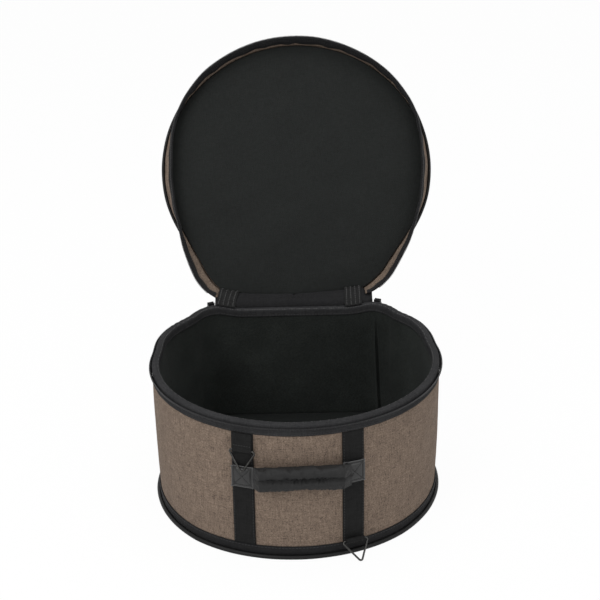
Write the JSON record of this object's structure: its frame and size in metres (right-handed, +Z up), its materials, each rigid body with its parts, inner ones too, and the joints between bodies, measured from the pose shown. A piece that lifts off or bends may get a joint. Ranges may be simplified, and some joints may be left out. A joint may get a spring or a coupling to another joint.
{
  "type": "tom drum bag",
  "caption": "Padded round drum bag standing open, with a flat back, a hinged zipped lid, a webbing grip handle and triangle wire rings on the front.",
  "frame": {"origin": "on the underside of the base, at the centre of the round front wall's arc", "axes": "+Z up; -Y towards the front with the handle; +Y towards the flat back with the hinge"},
  "size_m": [0.375, 0.5591, 0.5095],
  "materials": {
    "brown_fabric": "matte heather weave",
    "binding": "matte woven",
    "piping": "satin",
    "webbing": "matte ribbed weave",
    "patch": "fine grain",
    "grip": "matte",
    "lining": "matte",
    "foam": "matte",
    "zip_tape": "matte",
    "zip_teeth": "satin",
    "zip_metal": "black",
    "ring_wire": "dark"
  },
  "bodies": {
    "bag_body": {"base_fabric": "binding", "base_board": "foam", "base_lining": "lining", "base_binding": "binding", "base_piping": "piping", "outer_wall": "brown_fabric", "wall_foam": "foam", "wall_lining": "lining", "rim_binding": "binding", "body_zip_tape": "zip_tape", "body_zip_teeth": "zip_teeth", "zip_stop_left": "zip_metal", "zip_stop_right": "zip_metal", "strap_left": "webbing", "strap_right": "webbing", "handle_patch_left": "patch", "handle_patch_right": "patch", "handle_anchor_left": "webbing", "handle_anchor_right": "webbing", "ring_tab_upper": "webbing", "ring_tab_lower": "webbing", "hinge_panel_body": "binding", "hinge_strap_body_left": "webbing", "hinge_strap_body_right": "webbing"},
    "lid": {"lid_panel": "brown_fabric", "lid_foam": "foam", "lid_lining": "lining", "lid_band": "brown_fabric", "lid_piping": "piping", "lid_zip_tape": "zip_tape", "lid_zip_teeth": "zip_teeth", "hinge_panel_lid": "binding", "hinge_strap_lid_left": "webbing", "hinge_strap_lid_right": "webbing"},
    "handle": {"handle_webbing": "webbing", "grip_cover": "grip", "grip_core": "foam"},
    "ring_upper": {"ring_upper": "ring_wire"},
    "ring_lower": {"ring_lower": "ring_wire"},
    "slider_left": {"zip_slider_left": "zip_metal"},
    "slider_right": {"zip_slider_right": "zip_metal"},
    "pull_left": {"zip_pull_left": "zip_metal"},
    "pull_right": {"zip_pull_right": "zip_metal"}
  },
  "joints": [
    {"name": "lid_hinge", "type": "hinge", "parent": "bag_body", "child": "lid", "pos_m": [0, 0.175, 0.184], "axis": [-1, 0, 0], "range_deg": [-116, 60]},
    {"name": "handle_swing", "type": "hinge", "parent": "bag_body", "child": "handle", "pos_m": [0, -0.17808, 0.112], "axis": [-1, 0, 0], "range_deg": [-14, 14]},
    {"name": "ring_upper_swing", "type": "hinge", "parent": "bag_body", "child": "ring_upper", "pos_m": [-0.06527, -0.17492, 0.146], "axis": [-0.9369, 0.3496, 0], "range_deg": [0, 140]},
    {"name": "ring_lower_swing", "type": "hinge", "parent": "bag_body", "child": "ring_lower", "pos_m": [0.06642, -0.17801, 0.022], "axis": [-0.9369, -0.3496, 0], "range_deg": [-40, 100]},
    {"name": "zip_slide_left", "type": "hinge", "parent": "bag_body", "child": "slider_left", "pos_m": [-0.094, 0.121, 0.177], "axis": [0, 0, 1], "range_deg": [0, 37]},
    {"name": "zip_slide_right", "type": "hinge", "parent": "bag_body", "child": "slider_right", "pos_m": [0.094, 0.121, 0.177], "axis": [0, 0, -1], "range_deg": [0, 37]},
    {"name": "pull_left_swing", "type": "hinge", "parent": "slider_left", "child": "pull_left", "pos_m": [-0.11694, 0.17252, 0.177], "axis": [0.9135, 0.4067, 0], "range_deg": [-10, 110]},
    {"name": "pull_right_swing", "type": "hinge", "parent": "slider_right", "child": "pull_right", "pos_m": [0.11694, 0.17252, 0.177], "axis": [0.9135, -0.4067, 0], "range_deg": [-10, 110]}
  ]
}
